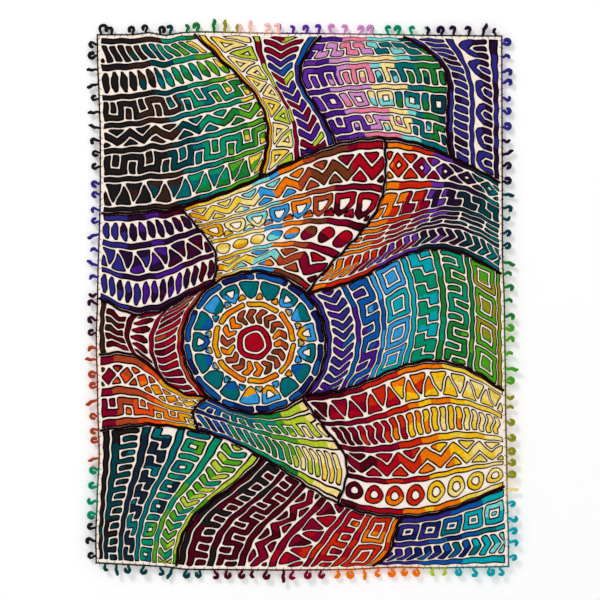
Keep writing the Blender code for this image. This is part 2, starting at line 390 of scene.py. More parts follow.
# Bars laid along a row: their length, how much it varies, the shift of every other layer, the shortest bar
# and how near the row's end the last one may stop, in mm.
LADDER_BAR = 33
LADDER_VARY = 9
LADDER_SHIFT = 16
LEAST_LADDER_BAR = 12
LADDER_END = 8

# What a face shows: dyed stitches, outline thread, or the back of the stitches.
DYED, OUTLINE, BACK = 0, 1, 2
# Rings sewn outwards from a shape's core: width and rise in mm, and what their faces show.
PADDED_RINGS = [(0.62, -0.40, DYED), (0.28, 0.26, OUTLINE), (0.44, 0.17, OUTLINE), (0.44, -0.22, OUTLINE),
                (0.30, -0.62, OUTLINE), (0, -0.35, OUTLINE)]
SLIGHT_RINGS = [(0.32, -0.22, DYED), (0.22, 0.18, OUTLINE), (0.32, 0.14, OUTLINE), (0.32, -0.16, OUTLINE),
                (0.24, -0.5, OUTLINE), (0, -0.3, OUTLINE)]
PADDED_HEIGHT = 0.92
SLIGHT_HEIGHT = 0.62
PADDED_REACH = sum(ring[0] for ring in PADDED_RINGS)
SLIGHT_REACH = sum(ring[0] for ring in SLIGHT_RINGS)
FRAME_CORE = 2.6
OPENING_GAP = 1.8
EYE_CORE = 0.6

# The same stitches as they show on the back: flatter and looser, without outline thread, and a little faded.
BACK_RINGS = [(1.3, 0.12, BACK), (0.6, 0.28, BACK)]
BACK_HEIGHT = CLOTH_BACK - CLOTH_FRONT - 0.35
BACK_DYE = 0.94
BACK_CLOTH = 0.025

# Real threads lie 0.4 mm apart. They are drawn coarser, so that they show.
THREAD_SPACING = 1.1
STRAY_SIZE = 3.846
MOTTLE_SIZE = 3.03

# How the dyes change: along a long shape in runs, with lengths in mm, and elsewhere from shape to shape. A
# shape of two dyes has their border near its middle, and its threads lean up to nearly half a radian.
LONG_SHAPE = 26
FIRST_RUN = (6, 20)
NEXT_RUN = (9, 27)
LAST_RUN = 8
DYE_STRAY = 0.75
BORDER_STRAY = 2
THREAD_LEAN = 0.45
DYES = {
    "charcoal": "#1D1A1B", "soot": "#33211A", "ink": "#132433", "pine": "#053C42", "teal": "#04656C",
    "jade": "#048A64", "green": "#187530", "leaf": "#4B9A1C", "olive": "#8F8A1A", "lime": "#B0C42E",
    "straw": "#EAC640", "butter": "#F2D888", "gold": "#E0980C", "sun": "#F0BA12", "orange": "#E97309",
    "tangerine": "#DE4713", "vermilion": "#C5250D", "red": "#A3071C", "crimson": "#7C0526",
    "maroon": "#4A0616", "plum": "#390B2B", "aubergine": "#221030", "indigo": "#2C2878", "violet": "#441880",
    "purple": "#5F2A98", "mauve": "#CA88C0", "pink": "#E57A96", "blush": "#F4BFB6", "turquoise": "#049EA9",
    "aqua": "#76CFCB", "sky": "#2F92D0", "blue": "#0D4F97", "navy": "#101F5A", "rust": "#A53F20",
    "brown": "#6B341A", "ground": "#F3E0D2",
}
OUTLINE_DYE = "#130406"
SQUARE = [(0, 0), (1, 0), (1, 1), (0, 1)]


def share_out(length, pitch, before=0, past=0):
    """Where shapes of about a pitch start along a row, some before or past it too, and how wide each is."""
    count = max(1, round(length / pitch))
    width = length / count
    return [i * width for i in range(-before, count + past)], width


def repeat(shapes, starts, width, height):
    """Shapes drawn again at each start along a row, their corners in shares of a width and of its height."""
    return [[(start + x * width, y * height) for x, y in shape] for start in starts for shape in shapes]


def slats(length, height):
    """Upright bars, a little narrower at the foot and at the top by turns."""
    starts, width = share_out(length, BAR)
    shapes = []
    for i, x in enumerate(starts):
        near, far = 0.4 * math.sin(2.4 * i), 0.4 * math.sin(2.4 * i + 2.4)
        shapes.append([(x + near, 0), (x + width + far, 0), (x + width - far, height), (x - near, height)])
    return shapes, []


def ladders(length, height):
    """Bars that lie along the row, in layers, with their joints staggered like bricks."""
    layers = max(2, round(height / BAR))
    depth = height / layers
    shapes = []
    for layer in range(layers):
        x, y = -LADDER_SHIFT * (layer % 2), layer * depth
        while x < length - LADDER_END:
            reach = LADDER_BAR + LADDER_VARY * math.sin(1.7 * x + layer)
            if length - x - reach < LEAST_LADDER_BAR:
                reach = length - x
            shapes.append([(x, y), (x + reach, y), (x + reach, y + depth), (x, y + depth)])
            x += reach
    return shapes, []


def battlement(length, height):
    """A ribbon in square turns for the whole length of the row, with a bar in each of its notches."""
    starts, turn = share_out(length, 4 * BAR)
    low, high = BAR / height, 1 - BAR / height
    bars = [[(1, 0), (2, 0), (2, high), (1, high)], [(3, low), (4, low), (4, 1), (3, 1)]]
    lower = [(0, 0), (1, 0), (1, high), (2, high), (2, 0), (4, 0)]
    upper = [(0, 1), (3, 1), (3, low), (4, low)]
    under = sum(repeat([lower], starts, turn / 4, height), [])
    over = sum(repeat([upper], starts, turn / 4, height), [])
    return repeat(bars, starts, turn / 4, height) + [under + over[::-1]], []


def combs(length, height):
    """A comb with its back on the row's foot, and bars that hang between its teeth."""
    starts, turn = share_out(length, 2 * BAR)
    low = BAR / height
    teeth = repeat([[(2, low), (1, low), (1, 1), (0, 1)]], starts[::-1], turn / 2, height)
    bars = repeat([[(1, low), (2, low), (2, 1), (1, 1)]], starts[::-1], turn / 2, height)
    return [[(0, 0), (length, 0)] + sum(teeth, [])] + bars, []


def arches(length, height):
    """Arches that stand side by side, each over a bar."""
    starts, turn = share_out(length, 3 * BAR)
    arch = [(0, 0), (1, 0), (1, 0.45), (1.5, 0.62), (2, 0.45), (2, 0), (3, 0), (3, 0.55), (2.6, 0.84),
            (1.9, 1), (1.1, 1), (0.4, 0.84), (0, 0.55)]
    bar = [(1, 0), (2, 0), (2, 0.45), (1.5, 0.62), (1, 0.45)]
    return repeat([arch, bar], starts, turn / 3, height), []


def beads(length, height):
    """Long oval beads, side by side."""
    starts, width = share_out(length, pitch=10)
    oval = [(0.26, 0), (0.74, 0), (1, 0.3), (1, 0.7), (0.74, 1), (0.26, 1), (0, 0.7), (0, 0.3)]
    return repeat([oval], starts, width, height), []


def slants(length, height):
    """Leaning bars."""
    starts, width = share_out(length, BAR, before=1, past=1)
    lean = 0.34 * height / width
    return repeat([[(0, 0), (1, 0), (1 + lean, 1), (lean, 1)]], starts, width, height), []


def waves(length, height):
    """Bars whose sides sway like a flame."""
    starts, width = share_out(length, BAR, past=1)
    sway = 1.9 / width
    near = [(-0.5, 0), (sway - 0.5, 0.32), (-sway - 0.5, 0.68), (-0.5, 1)]
    far = [(x + 1, y) for x, y in near]
    return repeat([far + near[::-1]], starts, width, height), []


def lozenges(length, height):
    """Lozenges point to point, with half lozenges filling in above and below."""
    starts, width = share_out(length, pitch=1.08 * height, past=1)
    fillings = [[(-0.5, 1), (0, 0.5), (0.5, 1)], [(0.5, 0), (0, 0.5), (-0.5, 0)]]
    lozenge = [(0.5, 0), (1, 0.5), (0.5, 1), (0, 0.5)]
    return repeat(fillings, starts, width, height), repeat([lozenge], starts[:-1], width, height)


def arrows(length, height):
    """Arrowheads that follow each other along the row."""
    starts, width = share_out(length, pitch=10.6)
    nose = 0.34 * height / width
    tail = repeat([[(0, 0), (nose, 0.5), (0, 1)]], [0], width, height)
    head = [(0, 0), (1, 0), (1 + nose, 0.5), (1, 1), (0, 1), (nose, 0.5)]
    return tail + repeat([head], starts, width, height), []


def steps(length, height):
    """Stepped blocks that lock into each other."""
    starts, width = share_out(length, pitch=17, before=1, past=1)
    step = [(0, 0), (1, 0), (1, 0.5), (1.5, 0.5), (1.5, 1), (0.5, 1), (0.5, 0.5), (0, 0.5)]
    return repeat([step], starts, width, height), []


def scallops(length, height):
    """Shell-shaped scallops on the row's foot, with small wedges between their tops."""
    starts, width = share_out(length, pitch=0.94 * height, past=1)
    wedge = [(-0.42, 1), (0, 0.5), (0.42, 1)]
    shell = [(0, 0), (1, 0), (1, 0.42), (0.84, 0.8), (0.5, 1), (0.16, 0.8), (0, 0.42)]
    return repeat([wedge], starts, width, height), repeat([shell], starts[:-1], width, height)


def halves(length, height):
    """Upright triangles, point up and point down by turns."""
    starts, width = share_out(length, pitch=0.86 * height, before=1, past=1)
    return [], repeat([[(0, 0), (1, 0), (0.5, 1)], [(1, 0), (1.5, 1), (0.5, 1)]], starts, width, height)


def wedges(length, height):
    """Blocks with slanting sides, broad top and broad foot by turns, each with a slit."""
    starts, pair = share_out(length, pitch=37, before=1, past=1)
    topped = [(0.13, 0), (0.87, 0), (1.13, 1), (-0.13, 1)]
    footed = [(0.87, 0), (2.13, 0), (1.87, 1), (1.13, 1)]
    return [], repeat([topped, footed], starts, pair / 2, height)


def disc(corners, across, up):
    """A round shape's corners in the middle of its place, from its reach across and up."""
    turns = [2 * math.pi * i / corners for i in range(corners)]
    return [(0.5 + across * math.cos(turn), 0.5 + up * math.sin(turn)) for turn in turns]


def rounds(length, height):
    """Round buttons with an open middle."""
    starts, width = share_out(length, pitch=0.96 * height)
    reach = min(width, height) / 2
    return [], repeat([disc(corners=15, across=reach / width, up=reach / height)], starts, width, height)


def zigzag(length, height):
    """A ribbon that zigzags the whole length of the row, with wedges in its bends."""
    starts, width = share_out(length, pitch=30)
    lower = [(0, 0), (0.5, 0.46)]
    upper = [(0, 0.54), (0.5, 1)]
    wedges_between = [[(0.5, 1), (-0.5, 1), (0, 0.54)], [(0, 0), (1, 0), (0.5, 0.46)]]
    last_wedge = repeat(wedges_between[:1], [length], width, height)
    under = sum(repeat([lower], starts, width, height), []) + [(length, 0)]
    over = sum(repeat([upper], starts, width, height), []) + [(length, 0.54 * height)]
    return repeat(wedges_between, starts, width, height) + last_wedge + [under + over[::-1]], []


def slots(length, height):
    """Upright blocks with a slit in the middle, parted by single bars."""
    starts, width = share_out(length, pitch=27.5)
    bar = [(0, 0), (0.34, 0), (0.34, 1), (0, 1)]
    block = [(0.34, 0), (1, 0), (1, 1), (0.34, 1)]
    return repeat([bar], starts, width, height), repeat([block], starts, width, height)


def frames(length, height):
    """A row of open square frames, each with a small shape in its middle."""
    starts, width = share_out(length, pitch=1.06 * height)
    return [], repeat([SQUARE], starts, width, height)


# Every motif that a row may have. Battlements and combs come twice, because they are sewn most.
MOTIFS = [slats, ladders, battlement, combs, arches, beads, slants, waves, lozenges, arrows, steps, scallops,
          halves, wedges, rounds, zigzag, slots, frames, battlement, combs]


def layer_of(bm, name):
    """The notes kept on a field's faces: the patch that each belongs to, or what it shows."""
    return bm.faces.layers.int[name]


def gather(bm, outline, length, patch, closed=False):
    """Add one flat shape, cut off at the ends of its row, or nothing if too little of it is left."""
    corners = []
    for x, y in outline:
        x, y = (x + STRAY_ALONG * math.sin(1.9 * x + 2.3 * y), y + STRAY_UP * math.sin(2.7 * x + 1.3 * y))
        spot = (x, y) if closed else (min(max(x, 0), length), y)
        if not corners or math.dist(spot, corners[-1]) > LEAST_SIDE:
            corners.append(spot)
    if math.dist(corners[0], corners[-1]) < LEAST_SIDE:
        corners.pop()
    if len(corners) < 3:
        return None
    face = bm.faces.new([bm.verts.new((x, y, 0)) for x, y in corners])
    face[layer_of(bm, "patch")] = patch
    if face.calc_area() < LEAST_AREA:
        bmesh.ops.delete(bm, geom=[face], context="FACES")
        return None
    return face


def shrink(bm, faces, distance):
    """Inset flat shapes and drop their rims. A shape that is too slight for it is dropped too."""
    for face in faces:
        face.normal_update()
    before = [[loop.vert.co.copy() for loop in face.loops] for face in faces]
    rims = bmesh.ops.inset_individual(bm, faces=faces, thickness=distance, use_even_offset=True)["faces"]
    bmesh.ops.delete(bm, geom=rims, context="FACES")
    kept, spoilt = [], []
    for face, old in zip(faces, before):
        now = [loop.vert.co for loop in face.loops]
        sound = True
        for i in range(len(old)):
            run, new_run = old[i] - old[i - 1], now[i] - now[i - 1]
            sound = sound and run.dot(new_run) > LEAST_LEFT * run.length
        (kept if sound else spoilt).append(face)
    bmesh.ops.delete(bm, geom=spoilt, context="FACES")
    return kept


def cut_corners(bm, faces, offset):
    """Cut the outward corners of flat shapes round, as a thread turns there."""
    corners = [loop.vert for face in faces for loop in face.loops
               if loop.is_convex and loop.calc_angle() < math.radians(SHARP_CORNER)]
    bmesh.ops.bevel(bm, geom=corners, offset=offset, offset_type="OFFSET", segments=2, profile=0.5,
                    affect="VERTICES", material=-1, clamp_overlap=True)


def divide_edges(faces):
    """Put points along the straight edges of flat shapes, so that they can bend with the cloth."""
    for face in faces:
        for edge in face.edges[:]:
            vert = edge.verts[0]
            for left in range(int(edge.calc_length() / WARP_STEP), 0, -1):
                vert = bmesh.utils.edge_split(edge, vert, 1 / (left + 1))[1]


def copy_faces(bm, faces):
    """Flat copies of shapes, in the same order."""
    copies = []
    for face in faces:
        copies.append(bm.faces.new([bm.verts.new(loop.vert.co) for loop in face.loops], face))
    return copies


def grow_ring(bm, rims, ring):
    """Sew one ring of thread outwards round every rim, and return the new rims."""
    width, rise, level = ring
    edges = [bm.edges.get(pair) for verts, patch in rims for pair in zip(verts, verts[1:] + verts[:1])]
    made = bmesh.ops.extrude_edge_only(bm, edges=edges)["geom"]
    fresh = {item for item in made if isinstance(item, bmesh.types.BMVert)}
    grown, patch_of = [], {}
    for verts, patch in rims:
        new = [next(edge.other_vert(vert) for edge in vert.link_edges if edge.other_vert(vert) in fresh)
               for vert in verts]
        spots = np.array([vert.co[:] for vert in verts])
        runs = np.roll(spots, -1, 0)[:, :2] - spots[:, :2]
        runs /= np.maximum(np.linalg.norm(runs, axis=1), 1e-6)[:, None]
        out = np.stack([runs[:, 1], -runs[:, 0]], -1)
        before = np.roll(out, 1, 0)
        meet = np.maximum(1 + np.sum(out * before, 1), SHARPEST_MITRE)
        spots[:, :2] += width * (out + before) / meet[:, None]
        spots[:, 2] += rise
        for vert, spot in zip(new, spots):
            vert.co = spot
            patch_of[vert] = patch
        grown.append((new, patch))
    for item in made:
        if isinstance(item, bmesh.types.BMFace):
            item[layer_of(bm, "level")] = level
            item[layer_of(bm, "patch")] = next(patch_of[vert] for vert in item.verts if vert in patch_of)
    return grown


def sew(bm, solid, holed, rings, height):
    """Turn flat shapes into padded stitching: solid ones, and ones that have an opening in their middle."""
    patch_layer = layer_of(bm, "patch")
    rims = []
    for face in solid + [face for pair in holed for face in pair]:
        for vert in face.verts:
            vert.co.z = height
    for face in solid:
        rims.append(([loop.vert for loop in face.loops], face[patch_layer]))
    for outer, inner in holed:
        patch = outer[patch_layer]
        rims.append(([loop.vert for loop in outer.loops], patch))
        rims.append(([loop.vert for loop in inner.loops][::-1], patch))
        edges = outer.edges[:] + inner.edges[:]
        bmesh.ops.delete(bm, geom=[outer, inner], context="FACES_ONLY")
        filled = bmesh.ops.triangle_fill(bm, use_beauty=True, use_dissolve=False, edges=edges)["geom"]
        for item in filled:
            if isinstance(item, bmesh.types.BMFace):
                item[patch_layer] = patch
    for ring in rings:
        rims = grow_ring(bm, rims, ring)


def sew_back(bm, faces):
    """The back of the stitches of these flat shapes."""
    faces = copy_faces(bm, faces)
    for face in faces:
        face[layer_of(bm, "level")] = BACK
    sew(bm, faces, [], BACK_RINGS, BACK_HEIGHT)


def stitch_shapes(bm, plain, eyed):
    """Make padded shapes of flat full-size ones. The eyed ones are left open, with a small shape inside."""
    patch_layer, level_layer = layer_of(bm, "patch"), layer_of(bm, "level")
    eyed = shrink(bm, eyed, GAP / 2 + PADDED_REACH)
    plain = shrink(bm, plain, GAP / 2 + PADDED_REACH)
    tests = shrink(bm, copy_faces(bm, eyed), FRAME_CORE + PADDED_REACH + EYE_CORE)
    open_patches = {face[patch_layer] for face in tests}
    bmesh.ops.delete(bm, geom=tests, context="FACES")
    framed = [face for face in eyed if face[patch_layer] in open_patches]
    plain += [face for face in eyed if face[patch_layer] not in open_patches]
    holes = shrink(bm, copy_faces(bm, framed), FRAME_CORE)
    eyes = shrink(bm, copy_faces(bm, framed), FRAME_CORE + PADDED_REACH + OPENING_GAP + SLIGHT_REACH)
    # Cutting corners makes the faces anew, so each group is marked by a level of its own while it is done.
    marks = {"plain": 10, "framed": 11, "holes": 12, "eyes": 13}
    for mark, group in zip(marks.values(), (plain, framed, holes, eyes)):
        for face in group:
            face[level_layer] = mark
    for kind, offset in (("plain", CORNER_CUT), ("framed", CORNER_CUT), ("eyes", EYE_CORNER_CUT)):
        cut_corners(bm, [face for face in bm.faces if face[level_layer] == marks[kind]], offset)
    groups = [sorted((face for face in bm.faces if face[level_layer] == mark),
                     key=lambda face: face[patch_layer]) for mark in marks.values()]
    for group in groups:
        for face in group:
            face[level_layer] = DYED
        divide_edges(group)
    plain, framed, holes, eyes = groups
    sew_back(bm, plain + framed)
    sew(bm, plain, list(zip(framed, holes)), PADDED_RINGS, PADDED_HEIGHT)
    sew(bm, eyes, [], SLIGHT_RINGS, SLIGHT_HEIGHT)


def lay_cells(total, lengths, draw):
    """Split a field's depth into motif rows parted by ribs: (start, depth, length, motif or None) each."""
    rib = RIB_WIDTH + GAP
    rows = max(1, round((total - rib) / (ROW_HEIGHT + rib)))
    depth = (total - rib * (rows + 1)) / rows
    if depth < LEAST_ROW:
        rows, rib, depth = 1, 0, total
    spans = [(depth if index % 2 else rib) * draw.uniform(*ROW_UNEVEN) for index in range(2 * rows + 1)]
    spans = [span * total / sum(spans) for span in spans]
    cells, place, last = [], 0, None
    for index, span in enumerate(spans):
        if span:
            length = float(np.interp((place + span / 2) / total, np.linspace(0, 1, len(lengths)), lengths))
            motif = None
            if index % 2:
                motif = draw.choice([choice for choice in MOTIFS if choice is not last])
                last = motif
            cells.append((place, span, length - 2 * EDGE_MARGIN, motif))
        place += span
    return [cell for cell in cells if cell[2] > LEAST_LENGTH]


def dye_pair(dyes, place, draw):
    """Two neighbouring dyes near a place, from 0 to 1, in a list of them."""
    spot = place * (len(dyes) - 1) + draw.uniform(-DYE_STRAY, DYE_STRAY)
    first = min(max(round(spot), 0), len(dyes) - 1)
    second = min(max(first + draw.choice((-1, 1, 1, -1, 0)), 0), len(dyes) - 1)
    return dyes[first], dyes[second]


def fill_field(cells, dyes, way, total, draw, closed=False):
    """All the stitched shapes of one field, flat, and what is known of each: its dyes and directions."""
    bm = bmesh.new()
    for layer in ("patch", "level"):
        bm.faces.layers.int.new(layer)
    plain, eyed, ribs, patches = [], [], [], []

    def dye_place(x, y, length):
        return min(max(x / length if way == "along" else y / total, 0), 1)

    def dye_runs(first, last, y, length, cell):
        """Dyes that change again and again along a long shape, from first to last, at y."""
        runs = [first + draw.uniform(*FIRST_RUN)]
        while runs[-1] < last - LAST_RUN:
            runs.append(runs[-1] + draw.uniform(*NEXT_RUN))
        runs = runs[:-1] or [(first + last) / 2]
        colors = [dye_pair(dyes, dye_place(x, y, length), draw)[0] for x in [first] + runs]
        middles = [(a + b) / 2 for a, b in zip(runs, runs[1:])]
        for index, run in enumerate(runs):
            patches.append(dict(dyes=(colors[index], colors[index + 1]), middle=(run, y), split=(1, 0),
                                thread=0, runs=middles if index == 0 else [], cell=cell))

    for cell, (start, depth, length, motif) in enumerate(cells):
        if motif is None:
            outline = [(x * length, start + y * depth) for x, y in SQUARE]
            face = gather(bm, outline, length, len(patches))
            if face:
                ribs.append(face)
                dye_runs(0, length, start + depth / 2, length, cell)
            continue
        for group, outlines in zip((plain, eyed), motif(length, depth)):
            for outline in outlines:
                middle = np.mean(outline, 0) + np.array([0, start])
                if closed and not 0 <= middle[0] < length - 0.01:
                    continue
                outline = [(x, start + y) for x, y in outline]
                face = gather(bm, outline, length, len(patches), closed)
                if not face:
                    continue
                group.append(face)
                first, last = min(x for x, y in outline), max(x for x, y in outline)
                if last - first > LONG_SHAPE:
                    dye_runs(first, last, middle[1], length, cell)
                    continue
                lean = draw.uniform(-THREAD_LEAN, THREAD_LEAN)
                patches.append(dict(dyes=dye_pair(dyes, dye_place(*middle, length), draw),
                                    middle=(middle[0] + draw.uniform(-BORDER_STRAY, BORDER_STRAY), middle[1]),
                                    split=(math.sin(lean), math.cos(lean)), thread=math.pi / 2 + lean,
                                    runs=[], cell=cell))
    stitch_shapes(bm, plain, eyed)
    ribs = shrink(bm, ribs, GAP / 2 + PADDED_REACH)
    divide_edges(ribs)
    sew_back(bm, ribs)
    sew(bm, ribs, [], PADDED_RINGS, PADDED_HEIGHT)
    rims = [edge for edge in bm.edges if edge.is_boundary]
    for face in bmesh.ops.edgeloop_fill(bm, edges=rims)["faces"]:
        beside = next(other for other in face.edges[0].link_faces if other != face)
        for layer in ("patch", "level"):
            face[layer_of(bm, layer)] = beside[layer_of(bm, layer)]
    bmesh.ops.triangulate(bm, faces=[face for face in bm.faces if len(face.verts) > 4])
    bmesh.ops.recalc_face_normals(bm, faces=bm.faces)
    return bm, patches


def satin_stitch():
    """Satin-stitched cotton: dyes that change crisply in a shape, a faint mottle and fine thread ridges."""
    material, tree, shader = new_material("satin_stitched_cotton", roughness=0.75, sheen=0.01)
    place = add_node(tree, "TexCoord").outputs["Object"]
    dye_a = add_node(tree, "Attribute", attribute_name="dye_a").outputs["Color"]
    dye_b = add_node(tree, "Attribute", attribute_name="dye_b").outputs["Color"]
    share = add_node(tree, "Attribute", attribute_name="share").outputs["Fac"]
    thread = add_node(tree, "UVMap", uv_map="thread").outputs["UV"]
    noise = add_node(tree, "TexNoise", {"Vector": place, "Scale": spots_per_metre(STRAY_SIZE), "Detail": 2})
    stray = add_node(tree, "MapRange", {0: noise.outputs["Fac"], 1: 0.25, 2: 0.75, 3: -1.1, 4: 1.1})
    edge = add_node(tree, "Math", {0: share, 1: stray.outputs[0]}, operation="ADD").outputs[0]
    side = add_node(tree, "MapRange", {0: edge, 1: -0.2, 2: 0.2}).outputs[0]
    dye = add_node(tree, "Mix", {0: side, 6: dye_a, 7: dye_b}, data_type="RGBA").outputs[2]
    noise = add_node(tree, "TexNoise", {"Vector": place, "Scale": spots_per_metre(MOTTLE_SIZE), "Detail": 4})
    mottle = add_node(tree, "MapRange", {0: noise.outputs["Fac"], 1: 0.3, 2: 0.7, 3: 0.8, 4: 1.16})
    color = add_node(tree, "VectorMath", {0: dye, "Scale": mottle.outputs[0]}, operation="SCALE").outputs[0]
    # The map of the threads is in centimetres.
    ridges = add_node(tree, "TexWave", {"Vector": thread, "Scale": bands_per_unit(THREAD_SPACING / 10),
                                        "Distortion": 1.5, "Detail": 2, "Detail Scale": 1.2},
                      bands_direction="X").outputs["Fac"]
    finish_material(tree, shader, color, ridges, strength=0.55, depth=0.18)
    return material


def read_values(items, name, kind=int, width=1):
    """One property of all of a mesh's points, corners or faces."""
    values = np.empty(width * len(items), kind)
    items.foreach_get(name, values)
    return values


def field_mesh(bm, name, patches, cells, warp):
    """The stitched shapes of one field laid on the cloth, with their dyes as attributes of their corners."""
    start, depth, length, motif = cells[len(cells) // 2]
    spots = np.array([[0, 1, 0], [0, 0, 1]]) + np.array([[length / 2], [start + depth / 2]])
    across, down = warp(spots[0], spots[1], np.full(3, length))
    if (across[1] - across[0]) * (down[2] - down[0]) > (across[2] - across[0]) * (down[1] - down[0]):
        bmesh.ops.reverse_faces(bm, faces=bm.faces)
    mesh = take_mesh(bm, name)
    flat = read_values(mesh.vertices, "co", float, 3).reshape(-1, 3)
    loops = read_values(mesh.loops, "vertex_index")
    totals = read_values(mesh.polygons, "loop_total")
    patch = read_values(mesh.attributes["patch"].data, "value")
    level = read_values(mesh.attributes["level"].data, "value")
    owner = np.repeat(np.arange(len(totals)), totals)
    middles = np.bincount(owner, flat[loops, 0]) / totals
    for first, known in enumerate(patches):
        if known["runs"]:
            faces = patch == first
            patch[faces] += np.searchsorted(known["runs"], middles[faces])

    def of_corners(fact):
        return np.array([known[fact] for known in patches])[patch[owner]]

    dyes = np.array([[linear(DYES[dye]) for dye in known["dyes"]] for known in patches])
    for index, attribute in enumerate(("dye_a", "dye_b")):
        faded = BACK_DYE * dyes[:, index] + BACK_CLOTH * np.array(linear(DYES["ground"]))
        shown = np.where((level == BACK)[:, None], faded[patch], dyes[patch, index])
        shown = np.where((level == OUTLINE)[:, None], linear(OUTLINE_DYE), shown)
        layer = mesh.attributes.new(attribute, "FLOAT_COLOR", "CORNER")
        layer.data.foreach_set("color", shown[owner].astype(np.float32).ravel())
    offset = flat[loops, :2] - of_corners("middle")
    layer = mesh.attributes.new("share", "FLOAT", "CORNER")
    layer.data.foreach_set("value", np.sum(offset * of_corners("split"), 1).astype(np.float32))
    angle = of_corners("thread")
    turned = np.stack([offset[:, 0] * np.cos(angle) + offset[:, 1] * np.sin(angle),
                       offset[:, 1] * np.cos(angle) - offset[:, 0] * np.sin(angle)], -1)
    threads = mesh.uv_layers.new(name="thread")
    threads.data.foreach_set("uv", (turned / 10).astype(np.float32).ravel())
    lengths = np.empty(len(flat))
    lengths[loops] = np.array([cell[2] for cell in cells])[of_corners("cell")]
    across, down = warp(flat[:, 0], flat[:, 1], lengths)
    laid = on_cloth(*by_hand(across, down), CLOTH_FRONT + flat[:, 2])
    mesh.vertices.foreach_set("co", laid.astype(np.float32).ravel())
    mesh.update()
    return add_piece(mesh, name, satin)


def side_route(text):
    """A side of a field, from the name of its line and the part of it, as evenly set points."""
    name, start, end = text.split()
    return evenly(line_route(name, float(start), float(end)), SEAM_POINTS)


def field_spot(first, last, left, right, u, v):
    """A spot of a field between its four sides, each a list of points, for u along the rows and v across."""
    places = np.linspace(0, 1, SEAM_POINTS)

    def along(route, share):
        return np.stack([np.interp(share, places, route[:, 0]), np.interp(share, places, route[:, 1])], -1)

    u1, v1 = u[..., None], v[..., None]
    spot = (1 - v1) * along(first, u) + v1 * along(last, u)
    spot = spot + (1 - u1) * along(left, v) + u1 * along(right, v)
    return (spot - (1 - u1) * (1 - v1) * first[0] - u1 * (1 - v1) * first[-1]
            - (1 - u1) * v1 * last[0] - u1 * v1 * last[-1])


def make_field(number, sides, dyes, way):
    """Fill one field between its first and last side with rows that run from its left to its right side."""
    draw = random.Random(FIELD_SEED + number)
    first, last, left, right = [side_route(side) for side in sides]
    shares = np.linspace(0, 1, FIELD_SHARES)
    lengths = []
    for v in shares:
        row = field_spot(first, last, left, right, shares, np.full(FIELD_SHARES, v))
        lengths.append(reach_along(row)[-1])
    middle = field_spot(first, last, left, right, np.full(FIELD_SHARES, 0.5), shares)
    depths = [reach_along(route)[-1] for route in (left, right, middle, middle)]
    total = sum(depths) / 4 - 2 * EDGE_MARGIN
    cells = lay_cells(total, lengths, draw)
    bm, patches = fill_field(cells, dyes.split(), way, total, draw)

    def warp(x, y, length):
        u = (EDGE_MARGIN + x) / (length + 2 * EDGE_MARGIN)
        v = (EDGE_MARGIN + y) / (total + 2 * EDGE_MARGIN)
        return field_spot(first, last, left, right, u, v).T

    return field_mesh(bm, "stitched_field_%02d" % number, patches, cells, warp)


# Each row: a field's first, last, left and right sides, its dyes in order, and whether they change along its
# rows or across them.
FIELDS = [
    (("top -227 -120", "arch 0 .4", "left 1.5 204", "top_a 0 1"),
     "charcoal charcoal charcoal soot pine teal jade green leaf straw", "along"),
    (("top_a 0 1", "top_b 0 1", "top -120 24", "arch .4 .6"),
     "gold straw butter lime crimson violet indigo blue", "across"),
    (("top 24 118", "arch .6 .88", "top_b 0 1", "top_c 0 1"),
     "violet purple mauve pink butter aqua teal green pine", "along"),
    (("right 1.5 166", "top_c 0 1", "top 227 118", "arch 1 .88"),
     "indigo aubergine indigo indigo aubergine", "across"),
    (("arch 0 .2", "west_upper 1 0", "left 204 300", "north_west_up 1 0"),
     "indigo indigo aubergine violet aubergine plum maroon", "along"),
    (("arch .2 .72", "rim 126 44", "north_west_up 1 0", "north_east_up 1 0"),
     "gold straw butter aqua sky orange rust brown crimson red maroon", "along"),
    (("arch .72 1", "east_upper 0 1", "north_east_up 1 0", "right 166 270"),
     "orange vermilion crimson purple aubergine ink pine teal", "along"),
    (("rim 126 230", "left 300 366", "west_upper 0 1", "west_lower 0 1"),
     "rust red crimson maroon crimson maroon soot", "across"),
    (("rim 44 -48", "right 270 404", "east_upper 0 1", "east_lower 0 1"),
     "indigo violet blue sky turquoise jade green leaf olive", "across"),
    (("west_lower 1 0", "hollow 0 .24", "left 366 452", "south_west_down 0 1"),
     "crimson rust tangerine orange gold straw", "along"),
    (("rim 230 312", "hollow .24 .6", "south_west_down 0 1", "south_east_down 0 1"),
     "navy blue teal jade green leaf lime butter straw", "along"),
    (("east_lower 0 1", "hollow .6 1", "south_east_down 0 1", "right 404 512"),
     "maroon crimson red vermilion orange sun straw butter straw", "along"),
    (("left 452 601.5", "bottom_a 0 1", "hollow 0 .4", "bottom -227 -140"),
     "charcoal pine ink teal jade leaf lime", "across"),
    (("bottom_a 0 1", "bottom_b 0 1", "hollow .4 .76", "bottom -140 78"),
     "charcoal maroon maroon crimson red vermilion orange", "across"),
    (("hollow .76 1", "bottom 78 227", "bottom_b 0 1", "right 512 601.5"),
     "violet indigo navy blue teal turquoise aqua", "along"),
]
satin = satin_stitch()
stitched = [make_field(number, *field) for number, field in enumerate(FIELDS, 1)]


# Medallion: the same stitching in rings round a middle. It is sewn as the fields are, with rows bent into
# rings. Each ring is made of shapes that share it out evenly, and a round shape fills the middle.
def segments(length, height):
    """Long plain blocks, end to end."""
    starts, width = share_out(length, pitch=38)
    return repeat([SQUARE], starts, width, height), []


def button(length, height):
    """One round shape that fills the square."""
    return [], repeat([disc(corners=18, across=0.5, up=0.5)], [0], length, height)


RINGS_SEED = 77
MIDDLE_SEED = 5
